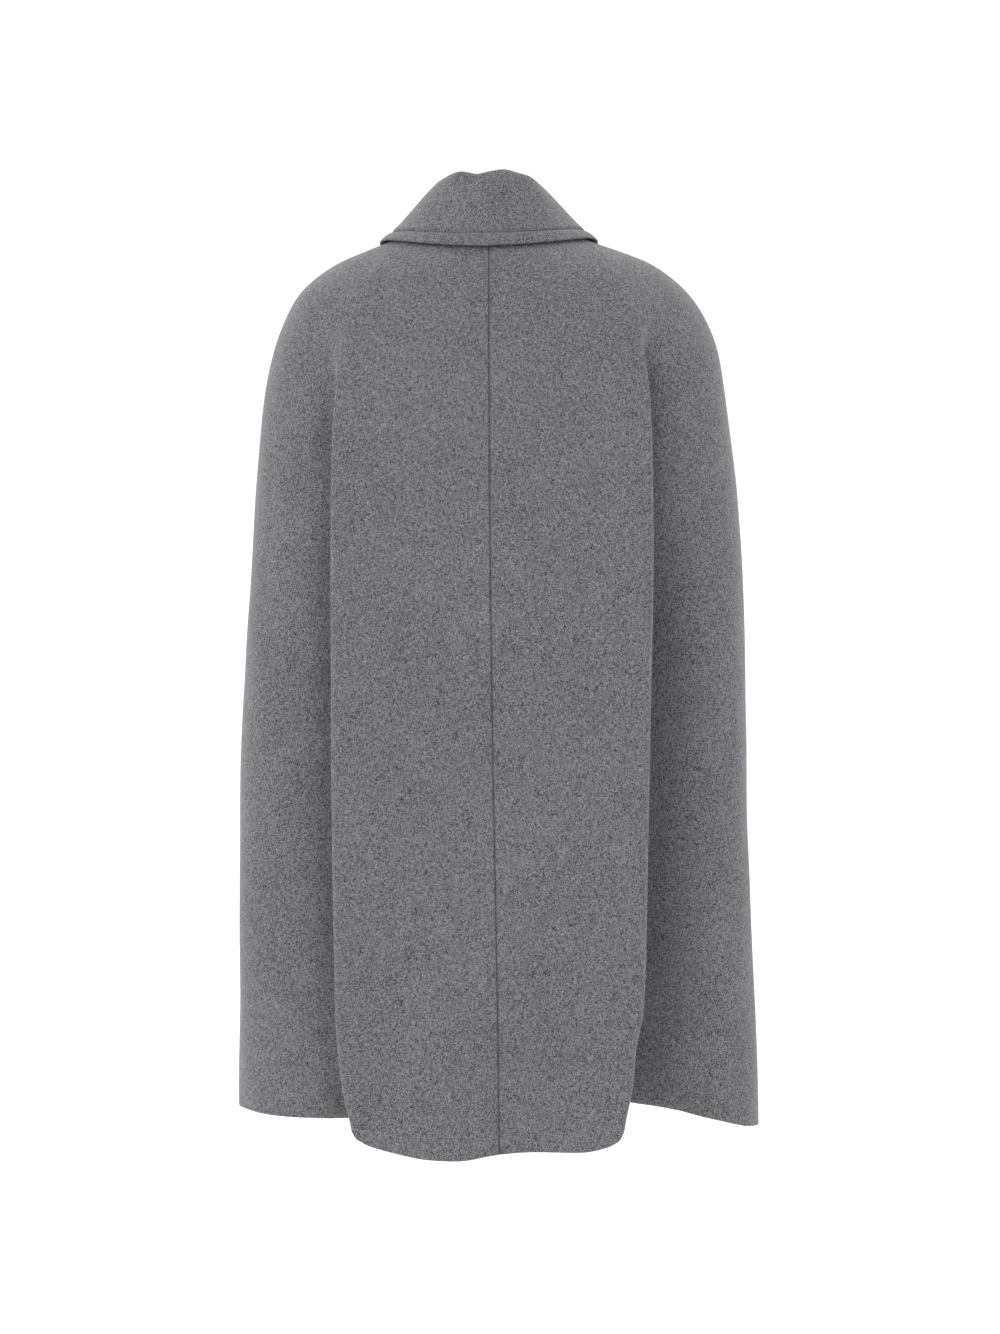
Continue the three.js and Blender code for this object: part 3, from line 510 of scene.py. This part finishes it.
def collar_piece():
    count = 181
    turns = np.linspace(-1, 1, count)
    turns = np.sort(np.concatenate([turns, [-0.9985, -0.996, -0.992, 0.992, 0.996, 0.9985]]))
    g = np.array([collar_line(t) for t in turns]).transpose(1, 0, 2)     # rows run from the neck seam to the edge
    N = normals_of(g, False)
    down = np.concatenate([[np.zeros(g.shape[1])], np.cumsum(np.linalg.norm(np.diff(g, axis=0), axis=-1), axis=0)])
    to_edge = down[-1] - down
    along = np.concatenate([np.zeros((g.shape[0], 1)), np.cumsum(np.linalg.norm(np.diff(g, axis=1), axis=-1), axis=1)], axis=1)
    to_end = np.minimum(along, along[:, -1:] - along)
    fall = smooth(STAND_N + ROLL_N * 0.6, STAND_N + ROLL_N + 2, np.arange(g.shape[0]))[:, None]
    d = -3.0 * np.log(np.exp(-to_edge / 3.0) + np.exp(-to_end / 3.0))
    line = np.exp(-(((d - STITCH_IN) / 1.7) ** 2)) * fall
    puff = (0.40 * np.exp(-(((d - STITCH_IN - 5) / 4.0) ** 2)) + 1.20 * np.exp(-(((d - STITCH_IN + 7.5) / 5.0) ** 2))) * fall
    soft = 0.5 * np.sin(g[..., 0] * 0.055 + 1.0) * np.sin(g[..., 2] * 0.06 + g[..., 1] * 0.03) * fall
    round_edge = 0.8 * (np.exp(-((to_edge / 1.2) ** 2)) + np.exp(-((to_end / 1.2) ** 2)))
    push = -1.5 * line + puff + soft
    outer = g + N * (WALL / 2 + push - np.minimum(round_edge, 0.9))[..., None]
    inner = g + N * (-WALL / 2 + soft * 0.6 + np.minimum(round_edge, 0.9))[..., None]
    ob = shell("wool_collar", outer, inner, False)
    w, l, area = cut_of(g)
    # the stitch line: along the outer edge, then up beside both ends
    low = STAND_N + ROLL_N + 1
    path = []
    surf = g + N * (WALL / 2 - 0.95)
    ok = [j for j in range(g.shape[1]) if to_end[-1, j] >= STITCH_IN]
    side_rows = [i for i in range(low, g.shape[0]) if to_edge[i, 0] >= STITCH_IN * 1.05]

    def beside(i, first):
        c = along[i] if first else along[i][-1] - along[i]
        idx = np.argsort(c)
        return np.array([np.interp(STITCH_IN, c[idx], surf[i, idx, k]) for k in range(3)]), np.array([np.interp(STITCH_IN, c[idx], N[i, idx, k]) for k in range(3)])

    for i in side_rows:
        path.append(beside(i, True))
    for j in ok:
        idx = np.argsort(to_edge[low:, j])
        c = to_edge[low:, j][idx]
        path.append((np.array([np.interp(STITCH_IN, c, surf[low:, j][idx][:, k]) for k in range(3)]), np.array([np.interp(STITCH_IN, c, N[low:, j][idx][:, k]) for k in range(3)])))
    for i in reversed(side_rows):
        path.append(beside(i, False))
    return ob, dict(flat=(w, l), area=min(area, w * l)), path


def stitches(name, path, pitch=4.3, length=3.1, thick=0.42):
    """A row of short sewn stitches along a path of (point, outward direction), in mm."""
    P, N = np.array([p for p, _ in path]), unit(np.array([n for _, n in path]))
    s = np.concatenate([[0], np.cumsum(np.linalg.norm(np.diff(P, axis=0), axis=-1))])
    verts, quads = [], []
    sides, cuts = 6, np.array([-0.5, -0.36, -0.12, 0.12, 0.36, 0.5])
    for c in np.arange(pitch, s[-1] - pitch, pitch):
        at = lambda x: np.array([np.interp(x, s, P[:, k]) for k in range(3)])
        n = unit(np.array([np.interp(c, s, N[:, k]) for k in range(3)]))
        t = unit(at(c + 1) - at(c - 1))
        b = np.cross(n, t)
        b0 = len(verts)
        for u in cuts:
            e = math.sqrt(max(1 - (2 * u) ** 2 * 0.92, 0.02))
            ctr = at(c + u * length) + n * (0.32 * math.cos(math.pi * u) - 0.12)
            for k in range(sides):
                a = 2 * math.pi * k / sides
                verts.append(ctr + thick * e * (math.cos(a) * b * 1.15 + math.sin(a) * n * 0.8))
        for r in range(len(cuts) - 1):
            for k in range(sides):
                k2 = (k + 1) % sides
                quads.append((b0 + r * sides + k, b0 + r * sides + k2, b0 + (r + 1) * sides + k2, b0 + (r + 1) * sides + k))
        quads.append(tuple(b0 + k for k in range(sides))[::-1])
        quads.append(tuple(b0 + (len(cuts) - 1) * sides + k for k in range(sides)))
    return mesh_object(name, verts, quads)


# ---------------------------------------------------------------- materials
def node_of(tree, kind, **values):
    n = tree.nodes.new(kind)
    for k, v in values.items():
        setattr(n, k, v)
    return n


def wool_material(name, mid, spread, sheen, bump):
    m = bpy.data.materials.new(name)
    m.use_nodes = True
    t = m.node_tree
    t.nodes.clear()
    out, bsdf = node_of(t, "ShaderNodeOutputMaterial"), node_of(t, "ShaderNodeBsdfPrincipled")
    t.links.new(bsdf.outputs[0], out.inputs[0])
    co = node_of(t, "ShaderNodeTexCoord")

    def noise(scale, detail, rough, stretch=(1, 1, 1)):
        mp = node_of(t, "ShaderNodeMapping")
        mp.inputs["Scale"].default_value = stretch
        t.links.new(co.outputs["Object"], mp.inputs["Vector"])
        n = node_of(t, "ShaderNodeTexNoise")
        n.inputs["Scale"].default_value = scale
        n.inputs["Detail"].default_value = detail
        n.inputs["Roughness"].default_value = rough
        t.links.new(mp.outputs[0], n.inputs["Vector"])
        return n.outputs[0]

    def mix(parts):
        total = None
        for sock, w in parts:
            mul = node_of(t, "ShaderNodeMath", operation="MULTIPLY_ADD")
            t.links.new(sock, mul.inputs[0])
            mul.inputs[1].default_value = w
            if total is None:
                mul.inputs[2].default_value = 0.0
            else:
                t.links.new(total, mul.inputs[2])
            total = mul.outputs[0]
        return total

    fine, fibre, cross = noise(1150, 2.0, 0.7), noise(640, 1.0, 0.6, (1, 1, 0.45)), noise(560, 1.0, 0.6, (0.5, 0.5, 1.3))
    clump, cloud, broad = noise(210, 2.0, 0.55), noise(38, 2.0, 0.5), noise(7, 1.0, 0.5)
    blend = mix([(fine, 0.62), (fibre, 0.15), (cross, 0.12), (clump, 0.055), (cloud, 0.03), (broad, 0.025)])
    ramp = node_of(t, "ShaderNodeValToRGB")
    r = ramp.color_ramp
    r.elements[0].position, r.elements[1].position = 0.415, 0.585
    lo, hi = [c * (1 - spread) for c in mid], [c * (1 + spread) for c in mid]
    r.elements[0].color, r.elements[1].color = (*lo, 1), (*hi, 1)
    e = r.elements.new(0.5)
    e.color = (*mid, 1)
    t.links.new(blend, ramp.inputs[0])
    t.links.new(ramp.outputs[0], bsdf.inputs["Base Color"])
    bsdf.inputs["Roughness"].default_value = 0.93
    bsdf.inputs["Specular IOR Level"].default_value = 0.18
    bsdf.inputs["Sheen Weight"].default_value = sheen
    bsdf.inputs["Sheen Roughness"].default_value = 0.42
    bsdf.inputs["Sheen Tint"].default_value = (0.9, 0.9, 0.93, 1)
    b1 = node_of(t, "ShaderNodeBump")
    b1.inputs["Strength"].default_value = bump
    b1.inputs["Distance"].default_value = 0.0011
    t.links.new(blend, b1.inputs["Height"])
    t.links.new(b1.outputs[0], bsdf.inputs["Normal"])
    return m


def horn_material(name):
    m = bpy.data.materials.new(name)
    m.use_nodes = True
    t = m.node_tree
    bsdf = t.nodes["Principled BSDF"]
    co, n1 = node_of(t, "ShaderNodeTexCoord"), node_of(t, "ShaderNodeTexNoise")
    n1.inputs["Scale"].default_value, n1.inputs["Detail"].default_value = 140, 3
    n1.inputs["Distortion"].default_value = 1.6
    t.links.new(co.outputs["Object"], n1.inputs["Vector"])
    ramp = node_of(t, "ShaderNodeValToRGB")
    ramp.color_ramp.elements[0].position, ramp.color_ramp.elements[1].position = 0.35, 0.72
    ramp.color_ramp.elements[0].color, ramp.color_ramp.elements[1].color = (0.024, 0.023, 0.026, 1), (0.085, 0.082, 0.085, 1)
    t.links.new(n1.outputs[0], ramp.inputs[0])
    t.links.new(ramp.outputs[0], bsdf.inputs["Base Color"])
    bsdf.inputs["Roughness"].default_value = 0.33
    return m


GREY = (0.150, 0.149, 0.159)
WOOL = wool_material("wool_melange", GREY, 0.86, 0.30, 0.60)
THREAD = wool_material("thread_grey", tuple(c * 0.9 for c in GREY), 0.25, 0.2, 0.2)
HORN = horn_material("dark_resin")


def dress(ob, mat):
    ob.data.materials.clear()
    ob.data.materials.append(mat)
    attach(ob, "root")
    return ob


# ---------------------------------------------------------------- the coat
made = {}
PANELS = table("node columns side lapped seams stitch on", [
    ["back_left", back_columns, 1, False, (True, True), None, ["back_right", "wing_left", "collar"]],
    ["back_right", back_columns, -1, False, (True, True), None, ["back_left", "wing_right", "collar"]],
    ["wing_left", wing_columns, 1, False, (True, True), None, ["back_left", "front_left", "collar"]],
    ["wing_right", wing_columns, -1, False, (True, True), None, ["back_right", "front_right", "collar"]],
    ["front_left", front_columns, 1, True, (True, False), EDGE_STITCH_IN, ["wing_left", "collar"]],
    ["front_right", front_columns, -1, False, (True, False), EDGE_STITCH_IN, ["wing_right", "collar"]],
])
for row in PANELS:
    ob, cut, g, N, d = panel("wool_" + row["node"], row["columns"], row["side"], row["lapped"], row["seams"], row["stitch"])
    dress(ob, WOOL)
    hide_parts(row["node"])
    made[row["node"]] = (ob, cut, g, N, d)
collar_ob, collar_cut, collar_path = collar_piece()
dress(collar_ob, WOOL)
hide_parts("collar")
collar_stitch = dress(stitches("collar_topstitch", collar_path), THREAD)

# stitching along the edge of the right front
_, _, g, N, (d0, d1) = made["front_right"]
edge_path = []
for i in range(g.shape[0]):
    if g[i, -1, 2] < -120 and g[i, -1, 2] > -905:
        c = d1[i][::-1]
        edge_path.append((np.array([np.interp(EDGE_STITCH_IN, c, (g[i] - N[i] * 0.35)[::-1, k]) for k in range(3)]), np.array([np.interp(EDGE_STITCH_IN, c, N[i][::-1, k]) for k in range(3)])))
edge_stitch = dress(stitches("front_edge_topstitch", edge_path), THREAD)

for row in PANELS:
    ob, cut = made[row["node"]][:2]


# ---------------------------------------------------------------- buttons
def lathe(profile, steps):
    verts, faces = [], []
    for k in range(steps):
        a = 2 * math.pi * k / steps
        for r, h in profile:
            verts.append((r * math.cos(a), h, r * math.sin(a)))
    n = len(profile)
    for k in range(steps):
        k2 = (k + 1) % steps
        for i in range(n - 1):
            faces.append((k * n + i, k * n + i + 1, k2 * n + i + 1, k2 * n + i))
    return verts, faces


def button_mesh():
    b = BUTTON
    R, H, floor = b["radius"], b["height"], b["height"] - b["dish"]
    prof = [(0.001, 0.0), (R - 1.8, 0.0), (R - 0.7, 0.45), (R - 0.1, 1.5), (R, 2.4), (R - 0.25, H - 0.9), (R - 0.8, H - 0.25), (R - 1.5, H),
            (R - b["rim"] + 0.2, H - 0.05), (R - b["rim"] - 0.5, H - 0.45), (R - b["rim"] - 1.1, floor + 0.15), (R - b["rim"] - 1.9, floor), (0.001, floor)]
    return lathe(prof, 64)


def thread_mesh():
    """Two parallel bars of thread through the four holes."""
    b = BUTTON
    verts, faces = [], []
    floor, o = b["height"] - b["dish"], b["holeOut"] * math.sqrt(0.5)
    for sx in (-1, 1):
        for strand in (-0.28, 0.28):
            b0, n = len(verts), 9
            for i in range(n):
                t = i / (n - 1)
                z = o * (2 * t - 1)
                h = floor - 0.5 + 0.95 * math.sin(math.pi * t) ** 0.6
                for k in range(6):
                    a = 2 * math.pi * k / 6
                    verts.append((sx * o + strand + 0.27 * math.cos(a), h + 0.27 * math.sin(a), z))
            for i in range(n - 1):
                for k in range(6):
                    k2 = (k + 1) % 6
                    faces.append((b0 + i * 6 + k, b0 + i * 6 + k2, b0 + (i + 1) * 6 + k2, b0 + (i + 1) * 6 + k))
    return verts, faces


# flat near-black discs lying on the dish floor at the four thread holes: painted shade standing in for the depth of
# the holes
def hole_shade_discs_mesh():
    b = BUTTON
    verts, faces = [], []
    floor, o = b["height"] - b["dish"], b["holeOut"] * math.sqrt(0.5)
    for sx in (-1, 1):
        for sz in (-1, 1):
            b0 = len(verts)
            for r, h in ((b["holeRadius"] + 0.25, floor + 0.015), (b["holeRadius"], floor - 0.12), (0.001, floor + 0.02)):
                for k in range(16):
                    a = 2 * math.pi * k / 16
                    verts.append((sx * o + r * math.cos(a), max(h, floor + 0.012), sz * o + r * math.sin(a)))
            for j in range(2):
                for k in range(16):
                    k2 = (k + 1) % 16
                    faces.append((b0 + j * 16 + k, b0 + (j + 1) * 16 + k, b0 + (j + 1) * 16 + k2, b0 + j * 16 + k2))
    return verts, faces


# near-black colour of the hole discs: painted shade inside the thread holes, not the resin's own colour
HOLE_SHADE = bpy.data.materials.new("hole_painted_shade")
HOLE_SHADE.use_nodes = True
HOLE_SHADE.node_tree.nodes["Principled BSDF"].inputs["Base Color"].default_value = (0.006, 0.006, 0.006, 1)
HOLE_SHADE.node_tree.nodes["Principled BSDF"].inputs["Roughness"].default_value = 0.9


def button_frame(height):
    lo, hi = 1.0, float(LAST)
    for _ in range(40):
        m = (lo + hi) / 2
        if face(m, -1, np.array([ring(m)["total"]]), waves=False)[0][2] > height:
            lo = m
        else:
            hi = m
    p, n, d = body_at(lo, -1, ring(lo)["total"], False)
    up = unit(-d + n * float(d @ n))
    side = np.cross(n, up)
    return p + n * BUTTON["stand"], n, up, side


for i, height in enumerate(BUTTON_HEIGHTS, 1):
    p, n, up, side = button_frame(height)

    def placed(local, lift=0.0):
        v = np.asarray(local)
        return p + v[:, :1] * side + (v[:, 1:2] + lift) * n + v[:, 2:3] * up

    bv, bf = button_mesh()
    b = dress(mesh_object(f"button_{i}_body", placed(bv), bf), HORN)
    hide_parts(f"button_{i}")
    # the thread holes are dark discs of painted shade
    hv, hf = hole_shade_discs_mesh()
    dress(mesh_object(f"button_{i}_holes", placed(hv), hf), HOLE_SHADE)
    tv, tf = thread_mesh()
    dress(mesh_object(f"button_{i}_thread", placed(tv), tf), THREAD)

# ---------------------------------------------------------------- stage
FLOOR_Z = -1.42


def flat_material(name, colour, rough):
    m = bpy.data.materials.new(name)
    m.use_nodes = True
    b = m.node_tree.nodes["Principled BSDF"]
    b.inputs["Base Color"].default_value = (*colour, 1)
    b.inputs["Roughness"].default_value = rough
    return m


bpy.ops.mesh.primitive_circle_add(vertices=96, radius=9, fill_type="NGON", location=(0, 0, FLOOR_Z))
floor = bpy.context.object
floor.name = "floor"
floor.data.materials.append(flat_material("floor_pale", (0.93, 0.93, 0.93), 0.95))

world = bpy.data.worlds.new("studio") if bpy.context.scene.world is None else bpy.context.scene.world
bpy.context.scene.world = world
world.use_nodes = True
wt = world.node_tree
bg = wt.nodes["Background"]
direction = node_of(wt, "ShaderNodeTexCoord")
# a white tent round the coat: soft light from every side, with these brighter parts
TENT = table("x y z starts full adds", [
    [0.00, -1.00, 0.00, -0.10, 0.50, 1.02],
    [0.90, 0.32, 0.22, 0.35, 0.92, 0.97],
    [-0.90, 0.32, 0.22, 0.35, 0.92, 0.62],
    [0.00, 1.00, 0.00, 0.90, 0.965, 0.62],
    [0.00, 0.10, 1.00, 0.30, 0.95, 0.92],
])
total = None
for lamp in TENT:
    dot = node_of(wt, "ShaderNodeVectorMath", operation="DOT_PRODUCT")
    wt.links.new(direction.outputs["Generated"], dot.inputs[0])
    ln = math.sqrt(lamp["x"] ** 2 + lamp["y"] ** 2 + lamp["z"] ** 2)
    dot.inputs[1].default_value = (lamp["x"] / ln, lamp["y"] / ln, lamp["z"] / ln)
    rng = node_of(wt, "ShaderNodeMapRange", interpolation_type="SMOOTHSTEP")
    wt.links.new(dot.outputs["Value"], rng.inputs["Value"])
    rng.inputs["From Min"].default_value, rng.inputs["From Max"].default_value = lamp["starts"], lamp["full"]
    rng.inputs["To Min"].default_value, rng.inputs["To Max"].default_value = 0.0, lamp["adds"]
    add = node_of(wt, "ShaderNodeMath", operation="ADD")
    wt.links.new(rng.outputs[0], add.inputs[0])
    if total is None:
        add.inputs[1].default_value = 0.13
    else:
        wt.links.new(total, add.inputs[1])
    total = add.outputs[0]
bg.inputs[0].default_value = (1, 1, 1, 1)
wt.links.new(total, bg.inputs[1])


def soft_sun(name, comes_from, strength, spread):
    d = bpy.data.lights.new(name, "SUN")
    d.energy, d.angle = strength, math.radians(spread)
    o = bpy.data.objects.new(name, d)
    bpy.context.scene.collection.objects.link(o)
    o.location = comes_from
    o.rotation_euler = (-Vector(comes_from)).to_track_quat("-Z", "Y").to_euler()
    return o


soft_sun("key", (2.3, 1.2, 0.9), 0.20, 50)
soft_sun("rim", (-2.2, -1.0, 0.9), 0.16, 50)

scene = bpy.context.scene
scene.view_settings.view_transform = "Standard"
scene.view_settings.look = "None"
cam = bpy.data.cameras.new("camera")
cam.sensor_fit, cam.sensor_width, cam.lens = "AUTO", 36.0, 73.36
cam.clip_start, cam.clip_end = 0.05, 50
camera = bpy.data.objects.new("camera", cam)
scene.collection.objects.link(camera)
camera.location = (-0.0046, 2.8, -0.455)
camera.rotation_euler = (math.radians(90), 0, math.radians(180))
scene.camera = camera
